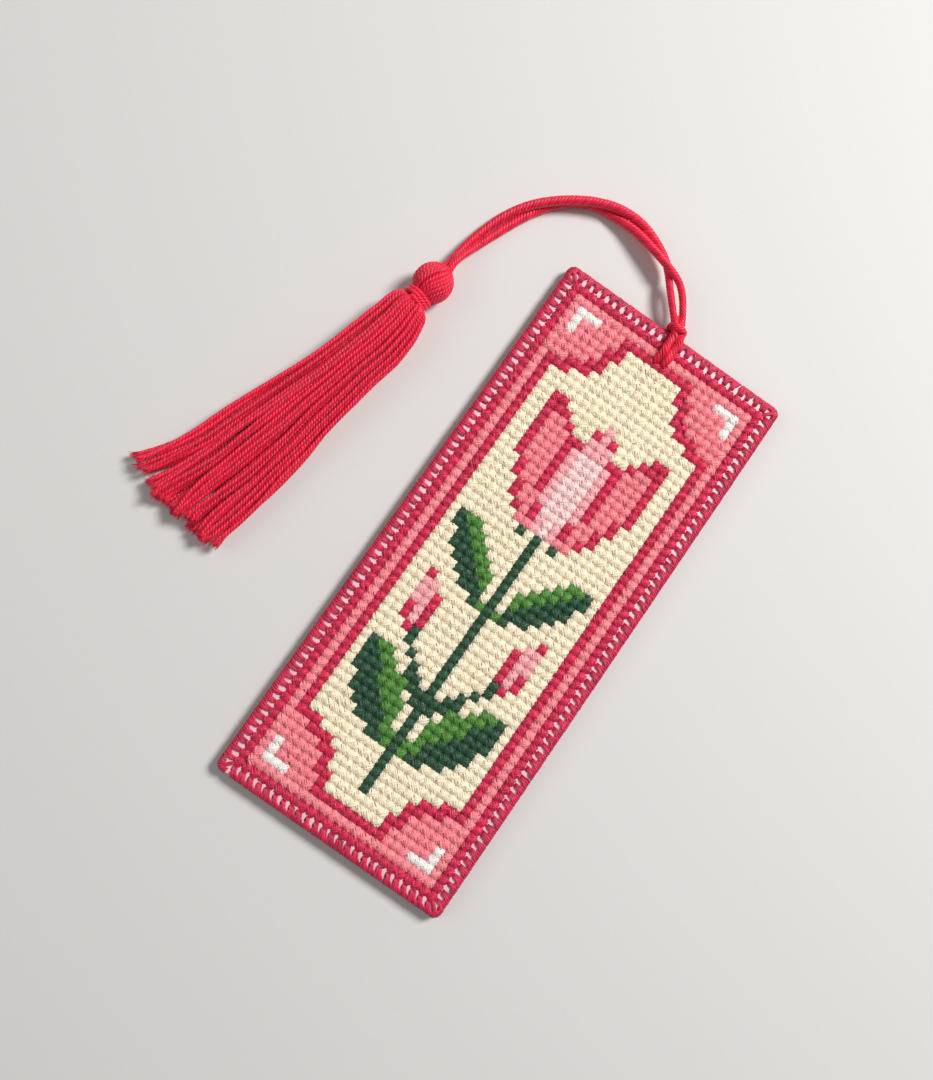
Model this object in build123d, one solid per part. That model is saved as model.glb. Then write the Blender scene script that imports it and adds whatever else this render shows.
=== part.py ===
from build123d import *

import os
from math import cos, hypot, pi, radians, sin, sqrt, tan

# Cross-stitched bookmark: plastic canvas worked in thread, backed with felt and overcast round the
# edge, with a tassel on a doubled cord that is hitched through the canvas at its top edge.
# Millimetres. Origin: middle of the felt's back. +X right, +Y towards the cord, +Z out of the front.

# Chart, in stitches
stitch_pitch = 1.814
columns = 25
rows = 62
frame_rings = 3
corner_reach = 6.6
corner_line = 1.3
accent_arm = 3
slotted_threads = ("frame_stripe", "inner_frame")

# Motif lenses and stems, as shares of the stitch pitch: foot, tip, half width.
# Each place is across from the middle column and down from the top row, mirrored left to right.
tulip_middle_shares = ((0, 26), (0, 10.5), 3.4)
tulip_side_shares = ((1.5, 26), (6.8, 10), 2.9)
bud_shares = ((5.6, 40.5), (6.8, 33.5), 1.75)
upper_leaf_shares = ((0.8, 34.5), (8.6, 26), 1.9)
lower_leaf_shares = ((0.8, 52), (8.8, 42), 2.7)
main_stem_shares = ((0, 26), (0, 56), 0.55)
side_stem_shares = ((0, 47), (5.6, 40), 0.6)
calyx_share = 0.1
heart_share = 0.72
heart_width_share = 0.42
light_width_share = 0.75
middle_width_share = 0.62
tip_share = 0.85
bud_width_share = 0.5
leaf_vein_share = 0.15
least_room_share = 0.3

# Panel layers
canvas_thickness = 1.0
canvas_border = 2.0
canvas_corner = 1.3
hole_width = 1.15
hole_length = 1.2
hole_setback = 0.7
stitch_height = 0.7
stitch_gap = 0.08

# Overcast edging
overcast_thread = 0.45
rim_width = 1.0
rim_round = 0.4

# Cord and its hitch
cord_diameter = 1.4
leg_gap = 0.2
bend_radius = 1.0
hitch_drop = 0.6
hinge_reach = 3.0
hinge_gap = 0.3

# Tassel
tassel_turn = -13.4
head_place = (-44.2, 39.0)
head_radius = 3.7
head_above = 4.4
head_below = 3.4
crown_width = 2.8
head_folds = 20
head_height_shares = (1.0, 0.93, 0.75, 0.45, 0.0)
neck_radius = 2.3
fold_radius = 1.7
fold_setback = 2.6
fold_room = 0.5
binding_thread = 0.5
binding_pitch = 0.75
binding_turns = 2
neck_length = 2.1
shoulder_length = 1.7
skirt_length = 62.5
shoulder_width = 9.0
shoulder_height = 7.4
tail_width = 22.6
tail_height = 4.2
skirt_sway = 2.0
ragged_length = 1.6
strand_gap = 0.06
strands_in_rows = (12, 14, 13, 10)
row_width_shares = (0.84, 1.0, 0.94, 0.74)
bundle_share = 0.8
ridge_share = 0.55
half_way_share = 0.5

# Clearances
fit_gap = 0.05
rest_gap = 0.05
run_share = 0.45
tube_sides = 6
measure_steps = 400
overrun = 20.0

# Worked out from the sizes above
cord_radius = cord_diameter / 2
field_width = columns * stitch_pitch
field_length = rows * stitch_pitch
canvas_width = field_width + 2 * canvas_border
canvas_length = field_length + 2 * canvas_border
panel_width = canvas_width + 2 * overcast_thread
panel_length = canvas_length + 2 * overcast_thread
panel_corner = canvas_corner + overcast_thread
felt_thickness = cord_diameter + rest_gap + fit_gap
felt_top = felt_thickness
canvas_top = felt_top + canvas_thickness
stitch_top = canvas_top + stitch_height
rim_top = canvas_top + overcast_thread
tooth_width = hole_width - 2 * fit_gap
margin_floor = rest_gap + overcast_thread + fit_gap
edge_y = panel_length / 2
leg_offset = cord_radius + leg_gap / 2
slot_width = 2 * (leg_offset + cord_radius + fit_gap)
slot_length = cord_radius + fit_gap + bend_radius
slot_y = field_length / 2 - (frame_rings - 1) * stitch_pitch
hole_y = slot_y - slot_length / 2 + cord_radius + fit_gap
hinge_y = edge_y + hinge_reach
barrel_radius = leg_offset + cord_radius + fit_gap
bight_y = edge_y + cord_radius + 2 * fit_gap
bight_x = leg_offset + cord_diameter + 2 * fit_gap
front_z = stitch_top + fit_gap + cord_radius
back_z = rest_gap + cord_radius
leg_z = front_z - hitch_drop
bight_z = leg_z + cord_diameter + 2 * fit_gap
head_z = head_radius + rest_gap
fold_y = head_above - fold_setback
skirt_top = -head_below - fit_gap

# Route of the cord's middle line from the hitch to the tassel: x, y, z and the legs' spread
cord_route = (
    (0.0, 60.2, 3.35, 1.6),
    (-0.9, 62.2, 3.35, 1.7),
    (-3.3, 64.4, 3.35, 2.5),
    (-6.2, 67.2, 3.25, 2.3),
    (-9.7, 69.4, 3.00, 1.7),
    (-14.5, 71.4, 2.60, 1.5),
    (-19.9, 72.7, 2.00, 1.5),
    (-25.0, 72.9, 1.50, 1.5),
    (-29.9, 71.6, 1.10, 1.5),
    (-34.0, 68.7, 0.90, 1.5),
    (-37.2, 64.3, 0.95, 1.5),
    (-39.8, 59.2, 1.35, 1.5),
    (-41.8, 54.0, 2.05, 1.5),
    (-42.9, 49.2, 2.95, 1.5),
    (-42.9, 45.0, 3.65, 2.0),
)


# Chart

def lens_place(across, down, shares):
    # Where a stitch lies in a lens: share of the half width there, share of the length
    (foot_across, foot_down), (tip_across, tip_down), half_width = shares
    run_across = tip_across - foot_across
    run_down = tip_down - foot_down
    length = hypot(run_across, run_down)
    along = ((across - foot_across) * run_across + (down - foot_down) * run_down) / length**2
    aside = ((across - foot_across) * run_down - (down - foot_down) * run_across) / length
    room = 4 * half_width * along * (1 - along)
    if room < least_room_share or abs(aside) > room:
        return None
    return aside / room, along


def on_stem(across, down, shares):
    (foot_across, foot_down), (tip_across, tip_down), half_width = shares
    run_across = tip_across - foot_across
    run_down = tip_down - foot_down
    length = hypot(run_across, run_down)
    along = ((across - foot_across) * run_across + (down - foot_down) * run_down) / length**2
    aside = ((across - foot_across) * run_down - (down - foot_down) * run_across) / length
    return 0 <= along <= 1 and abs(aside) <= half_width


def motif_thread(across, down):
    # A tulip over two buds and two pairs of leaves on one stem
    place = lens_place(across, down, tulip_middle_shares)
    if place:
        aside, along = place
        if along < calyx_share:
            return "leaf_dark"
        if abs(aside) < heart_width_share and along < heart_share:
            return "petal_heart"
        return "petal_light" if abs(aside) < light_width_share else "petal_outline"
    place = lens_place(across, down, tulip_side_shares)
    if place:
        aside, along = place
        if along < calyx_share:
            return "leaf_dark"
        inside = abs(aside) < middle_width_share and along < tip_share
        return "petal_middle" if inside else "petal_outline"
    place = lens_place(across, down, bud_shares)
    if place:
        return "petal_light" if abs(place[0]) < bud_width_share else "petal_outline"
    for leaf_shares in (upper_leaf_shares, lower_leaf_shares):
        place = lens_place(across, down, leaf_shares)
        if place:
            return "leaf_light" if place[0] > leaf_vein_share else "leaf_dark"
    for stem_shares in (main_stem_shares, side_stem_shares):
        if on_stem(across, down, stem_shares):
            return "stem"
    return "ground"


def chart_thread(column, row):
    # The thread that works one stitch: frame rings, corner panels and accents, then the motif
    across = min(column, columns - 1 - column)
    down = min(row, rows - 1 - row)
    ring = min(across, down)
    if ring == 0:
        return "outer_frame"
    if ring < frame_rings - 1:
        return "frame_stripe"
    from_side = across - frame_rings + 1
    from_end = down - frame_rings + 1
    if min(from_side, from_end) == 0 and max(from_side, from_end) < accent_arm:
        return "corner_accent"
    reach = hypot(from_side, from_end)
    if reach < corner_reach - corner_line:
        return "corner_panel"
    if reach < corner_reach or ring == frame_rings - 1:
        return "inner_frame"
    return motif_thread(abs(column - (columns - 1) / 2), row)


def patches(cells):
    # Splits a thread's stitches into patches whose stitches share sides
    waiting = set(cells)
    found = []
    while waiting:
        edge = [waiting.pop()]
        patch = set(edge)
        while edge:
            column, up = edge.pop()
            beside = {(column + 1, up), (column - 1, up), (column, up + 1), (column, up - 1)}
            fresh = beside & waiting
            waiting -= fresh
            patch |= fresh
            edge.extend(fresh)
        found.append(patch)
    return found


def patch_loops(patch):
    # Closed loops of grid steps round a patch, with the patch on the left of each step
    leaving = {}
    for column, up in patch:
        sides = (
            ((column, up), (column + 1, up), (column, up - 1)),
            ((column + 1, up), (column + 1, up + 1), (column + 1, up)),
            ((column + 1, up + 1), (column, up + 1), (column, up + 1)),
            ((column, up + 1), (column, up), (column - 1, up)),
        )
        for start, end, beyond in sides:
            if beyond not in patch:
                leaving.setdefault(start, []).append(end)
    unused = {(start, end) for start, ends in leaving.items() for end in ends}
    loops = []
    while unused:
        step = min(unused)
        loop = []
        while step in unused:
            unused.remove(step)
            start, end = step
            loop.append(start)
            left = (end[0] - end[1] + start[1], end[1] + end[0] - start[0])
            choices = leaving[end]
            step = (end, left if left in choices else choices[0])
        loops.append(loop)
    return loops


def inset_corners(loop):
    # The loop's corners in millimetres, drawn in by half the gap between threads
    corners = []
    for before, here, after in zip(loop[-1:] + loop[:-1], loop, loop[1:] + loop[:1]):
        came = (here[0] - before[0], here[1] - before[1])
        goes = (after[0] - here[0], after[1] - here[1])
        if came == goes:
            continue
        x = here[0] * stitch_pitch - field_width / 2 - (came[1] + goes[1]) * stitch_gap / 2
        y = here[1] * stitch_pitch - field_length / 2 + (came[0] + goes[0]) * stitch_gap / 2
        corners.append((x, y, canvas_top))
    return corners


def loop_area(corners):
    pairs = zip(corners, corners[1:] + corners[:1])
    return sum(a[0] * b[1] - b[0] * a[1] for a, b in pairs) / 2


def stitch_patch(patch):
    outlines = [inset_corners(loop) for loop in patch_loops(patch)]
    outlines.sort(key=loop_area, reverse=True)
    wires = [Wire.make_polygon(corners, close=True) for corners in outlines]
    return extrude(Face(wires[0], wires[1:]), amount=stitch_height, dir=(0, 0, 1))


def stitch_nodes():
    # One node for each thread, its patches as separate pads of stitching
    cells = {}
    for row in range(rows):
        for column in range(columns):
            cells.setdefault(chart_thread(column, row), []).append((column, rows - 1 - row))
    slot = Pos(0, slot_y, canvas_top) * Box(slot_width, stitch_pitch, 2 * overrun)
    nodes = {}
    for thread, places in cells.items():
        pads = [stitch_patch(patch) for patch in patches(places)]
        if thread in slotted_threads:
            pads = [solid for pad in pads for solid in (pad - slot).solids()]
        nodes[thread + "_stitches"] = Compound(children=[pad.solid() for pad in pads])
    return nodes


# Panel

def slab(sketch, floor, top):
    return extrude(Pos(0, 0, floor) * sketch, amount=top - floor)


def border_marks(width, length, centre_out):
    # One small rectangle beside each edge stitch, its middle centre_out beyond the stitched field
    across = GridLocations(stitch_pitch, field_length + 2 * centre_out, columns, 2)
    along = GridLocations(field_width + 2 * centre_out, stitch_pitch, 2, rows)
    marks = [place * Rectangle(width, length) for place in across]
    marks += [place * Rectangle(length, width) for place in along]
    return Sketch() + marks


def cord_slot():
    return Pos(0, slot_y) * Rectangle(slot_width, slot_length)


def back_groove():
    # Clears the two strands of the hitch where they are drawn into the back of the panel
    half = cord_radius + 2 * fit_gap
    narrow = leg_offset + half
    wide = bight_x + half
    groove = Polygon(
        (-narrow, hole_y - half),
        (narrow, hole_y - half),
        (wide, bight_y + half),
        (-wide, bight_y + half),
        align=None,
    )
    return slab(groove, -overrun, felt_top)


def front_canvas():
    plate = RectangleRounded(canvas_width, canvas_length, canvas_corner)
    plate -= border_marks(hole_width, hole_length, hole_setback)
    plate -= cord_slot()
    return slab(plate, felt_top, canvas_top)


def felt_backing():
    # Full thickness inside the overcasting, pressed thinner under it
    margin = RectangleRounded(canvas_width, canvas_length, canvas_corner)
    pad = Rectangle(field_width - 2 * fit_gap, field_length - 2 * fit_gap)
    felt = slab(margin, margin_floor, felt_top) + slab(pad, 0, felt_top)
    felt -= slab(cord_slot(), -overrun, overrun)
    return felt - back_groove()


def overcast_edging():
    # A rounded rim round the layers, with one stitch reaching in over each edge hole
    rim = slab(RectangleRounded(panel_width, panel_length, panel_corner), rest_gap, rim_top)
    ends = rim.faces().sort_by(Axis.Z)
    rim = chamfer(ends[0].edges() + ends[-1].edges(), rim_round)
    layers = RectangleRounded(canvas_width + 2 * fit_gap, canvas_length + 2 * fit_gap, canvas_corner)
    rim -= slab(layers, margin_floor - fit_gap, canvas_top)
    rim -= slab(Rectangle(field_width, field_length), -overrun, margin_floor)
    reach_in = canvas_border + overcast_thread - rim_width
    tooth_length = reach_in - fit_gap
    window = Rectangle(panel_width - 2 * rim_width, panel_length - 2 * rim_width)
    window -= border_marks(tooth_width, tooth_length, fit_gap + tooth_length / 2)
    rim -= slab(window, canvas_top, overrun)
    return rim - back_groove()


# Cord

def corner_radii(points):
    # The largest arc that each corner's two runs leave room for
    radii = []
    for before, here, after in zip(points, points[1:], points[2:]):
        came = Vector(here) - Vector(before)
        goes = Vector(after) - Vector(here)
        turn = radians(came.get_angle(goes))
        radii.append(run_share * min(came.length, goes.length) / tan(turn / 2))
    return radii


def tube(path, radius, name):
    section = Plane(origin=path @ 0, z_dir=path % 0) * RegularPolygon(radius, tube_sides)
    solid = sweep(section, path=path).solid()
    share = solid.volume / (section.area * path.length)
    print(name, "length", round(path.length, 2), "volume over section times length", round(share, 4))
    return solid


def cord_hitch():
    # The doubled cord: up the front, under the bight, down the back and round the edge in one run
    half = [
        (leg_offset, hinge_y, leg_z),
        (leg_offset, bight_y, leg_z),
        (leg_offset, edge_y - cord_radius, front_z),
        (leg_offset, hole_y, front_z),
        (leg_offset, hole_y, back_z),
        (bight_x, bight_y, back_z),
        (bight_x, bight_y, bight_z),
    ]
    points = half + [(-x, y, z) for x, y, z in reversed(half)]
    radii = [min(radius, bend_radius) for radius in corner_radii(points)]
    hitch = tube(FilletPolyline(*points, radius=radii), cord_radius, "hitch")
    barrel = Cylinder(barrel_radius + hinge_gap, 2 * overrun)
    return hitch - Pos(0, hinge_y, 0) * barrel


def leg_points(side):
    # One leg beside the cord's middle line
    points = []
    last = len(cord_route) - 1
    for index, (x, y, z, spread) in enumerate(cord_route):
        before = cord_route[max(index - 1, 0)]
        after = cord_route[min(index + 1, last)]
        run = hypot(after[0] - before[0], after[1] - before[1])
        aside = side * spread / 2 / run
        points.append((x + aside * (before[1] - after[1]), y + aside * (after[0] - before[0]), z))
    return points


def hanging_cord():
    # Both legs and the bight that the tassel's strands are folded through
    place = tassel_place()
    corners = [place * Pos(side * fold_radius, fold_y - fold_radius, head_z) for side in (-1, 1)]
    bight = [tuple(corner.position) for corner in corners]
    points = leg_points(-1) + bight + leg_points(1)[::-1]
    radii = corner_radii(points)
    print("cord radii", [round(radius, 1) for radius in radii])
    cord = tube(FilletPolyline(*points, radius=radii), cord_radius, "cord")
    ends = Box(2 * overrun, 2 * overrun, 2 * overrun, align=(Align.CENTER, Align.MAX, Align.CENTER))
    barrel = Cylinder(barrel_radius, 2 * overrun)
    return cord - Pos(0, hinge_y, 0) * (ends - barrel)


# Tassel, drawn along -Y from the middle of its head and then put in its place

def tassel_place():
    return Pos(head_place[0], head_place[1], 0) * Rot(0, 0, tassel_turn)


def facet(corners):
    return Face(Wire.make_polygon(corners, close=True))


def faceted(rings):
    # A solid through outlines whose sides keep their slopes from one to the next, so each facet is flat
    facets = [facet(rings[0]), facet(rings[-1])]
    for ring, beyond in zip(rings, rings[1:]):
        sides = zip(ring, ring[1:] + ring[:1], beyond[1:] + beyond[:1], beyond)
        facets += [facet(corners) for corners in sides]
    return Solid(Shell(facets))


def head_radius_at(y):
    # A round cheek that draws in to the crown above and to the neck below
    reach, end_radius = (head_above, crown_width / 2) if y > 0 else (head_below, neck_radius)
    return head_radius * sqrt(1 - (y / reach) ** 2 * (1 - (end_radius / head_radius) ** 2))


def tassel_head():
    # The folded strands: a knob in two halves, joined below the cord's bight and through it
    heights = [head_above * share for share in head_height_shares]
    heights += [-head_below * share for share in reversed(head_height_shares[:-1])]
    rings = []
    for y in heights:
        angles = [2 * pi * fold / head_folds for fold in range(head_folds)]
        radius = head_radius_at(y)
        rings.append([(radius * cos(angle), y, radius * sin(angle)) for angle in angles])
    head = faceted(rings)
    gap_height = cord_diameter + 2 * hinge_gap
    room = fold_radius + cord_radius + hinge_gap
    mouth = Box(2 * overrun, overrun, gap_height, align=(Align.CENTER, Align.MIN, Align.CENTER))
    gap = Pos(0, fold_y, 0) * (mouth + Cylinder(room, gap_height))
    fold = Pos(0, fold_y, 0) * Cylinder(fold_radius - cord_radius - fold_room, gap_height)
    return tassel_place() * Pos(0, 0, head_z) * (head - gap + fold)


def biarc(start, heading, end, end_heading):
    # Two arcs that leave and arrive along the given headings
    chord = end - start
    both = heading + end_heading
    square = both.dot(both) - 4
    middle = -2 * chord.dot(both)
    reach = (-middle - sqrt(middle**2 - 4 * square * chord.dot(chord))) / (2 * square)
    first = start + heading * reach
    second = end - end_heading * reach
    joint = (first + second) / 2
    return [
        Edge.make_tangent_arc(start, heading, joint),
        Edge.make_tangent_arc(joint, second - first, end),
    ]


def neck_binding():
    # One thread wound round the neck, its ends left straight
    winding_radius = neck_radius + fit_gap + binding_thread / 2
    top = skirt_top - (neck_length - binding_turns * binding_pitch) / 2
    drop = binding_pitch / (2 * pi)

    def place(angle):
        return Vector(winding_radius * cos(angle), top - drop * angle, winding_radius * sin(angle))

    def heading(angle):
        return Vector(-winding_radius * sin(angle), -drop, winding_radius * cos(angle)).normalized()

    quarters = 4 * binding_turns
    angles = [quarter * pi / 2 for quarter in range(quarters + 1)]
    edges = [Edge.make_line(place(0) - heading(0) * binding_thread, place(0))]
    for angle, after in zip(angles, angles[1:]):
        edges += biarc(place(angle), heading(angle), place(after), heading(after))
    end = angles[-1]
    edges.append(Edge.make_line(place(end), place(end) + heading(end) * binding_thread))
    path = Wire(edges)
    points = [path @ (step / measure_steps) for step in range(measure_steps + 1)]
    turn_steps = int(measure_steps * pi * winding_radius / path.length)
    least = min(
        (points[a] - points[b]).length
        for a in range(len(points))
        for b in range(a + turn_steps, len(points))
    )
    print("binding's least gap to itself", round(least - binding_thread, 3))
    return tassel_place() * Pos(0, 0, head_z) * tube(path, binding_thread / 2, "binding")


def skirt_stations():
    # Down the skirt: y, width, height, sideways sway and the height of the middle
    bundle = 2 * neck_radius * bundle_share
    shoulder_y = skirt_top - neck_length - shoulder_length
    tail_y = skirt_top - skirt_length
    half_way_y = shoulder_y + (tail_y - shoulder_y) * half_way_share
    half_way_width = shoulder_width + (tail_width - shoulder_width) * half_way_share
    half_way_height = shoulder_height + (tail_height - shoulder_height) * half_way_share
    return (
        (skirt_top, bundle, bundle, 0, head_z),
        (skirt_top - neck_length, bundle, bundle, 0, head_z),
        (shoulder_y, shoulder_width, shoulder_height, skirt_sway, shoulder_height / 2),
        (half_way_y, half_way_width, half_way_height, skirt_sway, half_way_height / 2),
        (tail_y, tail_width, tail_height, 0, tail_height / 2),
    )


def strand_section(station, row, place, drop):
    # The six-sided outline of one strand at one station: its slopes stay, so the sides come out flat
    y, width, height, sway, middle_z = station
    cell_width = width * row_width_shares[row] / strands_in_rows[row]
    cell_height = height / len(strands_in_rows)
    x = sway + (place - (strands_in_rows[row] - 1) / 2) * cell_width
    z = middle_z + (row - (len(strands_in_rows) - 1) / 2) * cell_height
    half_width = (cell_width - strand_gap) / 2
    half_height = (cell_height - strand_gap) / 2
    shoulder = half_height - half_width * ridge_share
    corners = (
        (x, z + half_height),
        (x - half_width, z + shoulder),
        (x - half_width, z - shoulder),
        (x, z - half_height),
        (x + half_width, z - shoulder),
        (x + half_width, z + shoulder),
    )
    return [(px, y - drop, pz) for px, pz in corners]


def skirt_strands():
    # Rows of strands, gathered at the neck and fanned at the tail, cut a little unevenly
    stations = skirt_stations()
    strands = []
    for row, count in enumerate(strands_in_rows):
        for place in range(count):
            uneven = ragged_length * sin(len(strands) ** 2)
            drops = [0] * (len(stations) - 1) + [uneven]
            sections = [strand_section(station, row, place, drop) for station, drop in zip(stations, drops)]
            strands.append(faceted(sections))
    return tassel_place() * Compound(children=strands)


nodes = {
    "felt_backing": felt_backing(),
    "front_canvas": front_canvas(),
    "overcast_edging": overcast_edging(),
    **stitch_nodes(),
    "cord_hitch": cord_hitch(),
    "hanging_cord": hanging_cord(),
    "tassel_head": tassel_head(),
    "neck_binding": neck_binding(),
    "skirt_strands": skirt_strands(),
}
os.makedirs("parts", exist_ok=True)
for name, shape in nodes.items():
    export_step(shape, f"parts/{name}.step")
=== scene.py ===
from math import ceil, cos, pi, radians, sin, sqrt

import bpy
import numpy as np
from mathutils import Matrix, Vector
from mathutils.bvhtree import BVHTree


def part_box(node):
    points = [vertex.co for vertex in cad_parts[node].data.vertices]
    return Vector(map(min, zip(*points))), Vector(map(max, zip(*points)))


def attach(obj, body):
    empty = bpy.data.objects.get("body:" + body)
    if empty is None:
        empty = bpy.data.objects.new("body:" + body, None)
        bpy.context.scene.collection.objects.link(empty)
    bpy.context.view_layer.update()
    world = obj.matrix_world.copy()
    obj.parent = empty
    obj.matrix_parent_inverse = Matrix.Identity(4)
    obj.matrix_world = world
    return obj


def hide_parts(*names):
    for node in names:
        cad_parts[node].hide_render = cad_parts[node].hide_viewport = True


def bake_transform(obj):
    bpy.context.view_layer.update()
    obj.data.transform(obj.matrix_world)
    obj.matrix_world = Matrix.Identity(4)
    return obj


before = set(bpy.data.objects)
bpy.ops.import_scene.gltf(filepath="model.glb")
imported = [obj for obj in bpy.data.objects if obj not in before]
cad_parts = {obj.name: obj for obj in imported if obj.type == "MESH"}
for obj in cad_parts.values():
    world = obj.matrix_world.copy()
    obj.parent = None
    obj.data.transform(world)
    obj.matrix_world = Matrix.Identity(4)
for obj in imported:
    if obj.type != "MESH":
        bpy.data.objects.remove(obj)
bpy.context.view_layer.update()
mm = 0.001
upward = (0, 0, 1)
print("frame loaded,", len(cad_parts), "nodes")


# Shared helpers. Shapes are worked out in millimetres and written to the meshes in metres.

def boxOf(node):
    low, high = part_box(node)
    return np.array(low) / mm, np.array(high) / mm


def lengthAlong(paths):
    steps = np.linalg.norm(np.diff(paths, axis=1), axis=2)
    return np.concatenate([np.zeros((len(paths), 1)), np.cumsum(steps, axis=1)], axis=1)


def framesAlong(paths, up):
    # Heading, side and up at each point of a batch of paths, carried along without twist
    heading = np.gradient(paths, axis=1)
    heading /= np.linalg.norm(heading, axis=2, keepdims=True)
    ups = np.empty_like(paths)
    carried = np.broadcast_to(np.asarray(up, float), paths[:, 0].shape)
    for step in range(paths.shape[1]):
        lean = np.sum(carried * heading[:, step], axis=1, keepdims=True)
        carried = carried - lean * heading[:, step]
        carried = carried / np.linalg.norm(carried, axis=1, keepdims=True)
        ups[:, step] = carried
    return heading, np.cross(heading, ups), ups


def evenly(points, steps):
    along = lengthAlong(points[None])[0]
    wanted = np.linspace(0, along[-1], steps)
    return np.stack([np.interp(wanted, along, points[:, axis]) for axis in range(3)], axis=1)


def smoothPath(points, steps):
    # Catmull-Rom through the points, then evenly spaced
    p = np.asarray(points, float)
    p = np.vstack([2 * p[0] - p[1], p, 2 * p[-1] - p[-2]])
    shares = np.arange(0, 1, 0.05)     # twenty short steps from each point to the next
    fine = []
    for a, b, c, d in zip(p, p[1:], p[2:], p[3:]):
        for t in shares:
            fine.append(0.5 * (2 * b + (c - a) * t + (2 * a - 5 * b + 4 * c - d) * t**2
                               + (3 * b - a - 3 * c + d) * t**3))
    fine.append(p[-2])
    return evenly(np.array(fine), steps)


def plyPaths(paths, up, plies, offset, pitch, phase=0.0, loose=0.0):
    # Plies twisted to the left round a batch of paths, one batch after the other; loose ends run straight
    _, side, ups = framesAlong(paths, up)
    along = lengthAlong(paths)
    wound = np.minimum(along, along[:, -1:] - loose)
    offset = np.broadcast_to(offset, along.shape)[..., None]
    made = []
    for ply in range(plies):
        turn = 2 * pi * (wound / pitch + ply / plies) + np.reshape(phase, (-1, 1))
        turn = turn[..., None]
        made.append(paths + offset * (np.cos(turn) * side + np.sin(turn) * ups))
    return np.concatenate(made)


strandSettings = {
    "fibreStretch": 0.35,    # how fast the streaks change along a strand
    "fibreShift": 60,        # each strand starts at its own place in the streaks
    "darkest": 0.6,          # the darkest strand's shade, where the palest has 1
}


def tubeMesh(name, paths, halfWidth, halfHeight, sides, up, twist, draw, light=1.0):
    # One closed tube for each path; fibre and shade feed the thread materials, and light is painted shade
    # that darkens what lies deep
    s = strandSettings
    strands, points = paths.shape[:2]
    _, side, ups = framesAlong(paths, up)
    halfWidth = np.broadcast_to(halfWidth, (strands, points))
    halfHeight = np.broadcast_to(halfHeight, (strands, points))
    angle = np.arange(sides) * 2 * pi / sides
    ring = (halfWidth[..., None, None] * np.cos(angle)[:, None] * side[:, :, None]
            + halfHeight[..., None, None] * np.sin(angle)[:, None] * ups[:, :, None])
    spots = (paths[:, :, None] + ring) * mm
    first = (np.arange(strands) * points * sides)[:, None, None]
    rings = first + (np.arange(points - 1) * sides)[None, :, None]
    here = rings + np.arange(sides)
    beside = rings + (np.arange(sides) + 1) % sides
    quads = np.stack([here, here + sides, beside + sides, beside], axis=-1).reshape(-1, 4)
    starts = first[:, 0] + np.arange(sides)
    ends = first[:, 0] + (points - 1) * sides + np.arange(sides)[::-1]
    mesh = bpy.data.meshes.new(name)
    mesh.from_pydata(spots.reshape(-1, 3).tolist(), [], quads.tolist() + starts.tolist() + ends.tolist())
    smooth = np.ones(len(mesh.polygons), bool)
    smooth[len(quads):] = False
    mesh.polygons.foreach_set("use_smooth", smooth)
    along = lengthAlong(paths)
    around = angle + twist * along[..., None]
    draws = draw.random((strands, 2))
    lengthwise = s["fibreStretch"] * along + s["fibreShift"] * draws[:, :1]
    lengthwise = np.broadcast_to(lengthwise[..., None], around.shape)
    fibre = np.stack([np.cos(around), np.sin(around), lengthwise], axis=-1)
    mesh.attributes.new("fibre", "FLOAT_VECTOR", "POINT").data.foreach_set("vector", fibre.ravel())
    shade = s["darkest"] + (1 - s["darkest"]) * draws[:, 1:]
    # the shade attribute: a tone drawn for each strand, times the painted shade given in light
    shade = np.repeat((shade * np.broadcast_to(light, (strands, points))).ravel(), sides)
    mesh.attributes.new("shade", "FLOAT", "POINT").data.foreach_set("value", shade)
    return mesh


def addPiece(name, mesh, material, nodes=(), body=None):
    piece = bpy.data.objects.new(name, mesh)
    bpy.context.scene.collection.objects.link(piece)
    mesh.materials.append(material)
    if body:
        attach(piece, body)
    if nodes:
        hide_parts(*nodes)
    return piece


# Helpers for the materials

def linear(colour):
    # 0 to 255 as read on a screen, to Blender's linear colour
    share = [value / 255 for value in colour]
    return [v / 12.92 if v <= 0.04045 else ((v + 0.055) / 1.055) ** 2.4 for v in share]


def startMaterial(name):
    material = bpy.data.materials.new(name)
    material.use_nodes = True
    return material, material.node_tree, material.node_tree.nodes["Principled BSDF"]


def addNode(tree, kind, **inputs):
    node = tree.nodes.new(kind)
    for socket, value in inputs.items():
        if isinstance(value, bpy.types.NodeSocket):
            tree.links.new(value, node.inputs[socket])
        else:
            node.inputs[socket].default_value = value
    return node


def attribute(tree, name, output):
    node = tree.nodes.new("ShaderNodeAttribute")
    node.attribute_name = name
    return node.outputs[output]


def noise(tree, place, **inputs):
    return addNode(tree, "ShaderNodeTexNoise", Vector=place, **inputs).outputs["Fac"]


def spread(tree, value, low, high):
    node = addNode(tree, "ShaderNodeMapRange", Value=value)
    node.inputs["To Min"].default_value = low
    node.inputs["To Max"].default_value = high
    return node.outputs["Result"]


def product(tree, first, second):
    node = tree.nodes.new("ShaderNodeMath")
    node.operation = "MULTIPLY"
    tree.links.new(first, node.inputs[0])
    tree.links.new(second, node.inputs[1])
    return node.outputs[0]


def tintBy(tree, tone, colour, shader):
    # The colour, lighter and darker by a tone round 1
    tint = tree.nodes.new("ShaderNodeVectorMath")
    tint.operation = "SCALE"
    tint.inputs[0].default_value = linear(colour)
    tree.links.new(tone, tint.inputs["Scale"])
    tree.links.new(tint.outputs[0], shader.inputs["Base Color"])


def bumpBy(tree, height, strength, depth, shader):
    bump = addNode(tree, "ShaderNodeBump", Height=height, Strength=strength, Distance=depth * mm)
    tree.links.new(bump.outputs["Normal"], shader.inputs["Normal"])


# Camera, at the photograph's place over the panel

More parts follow.
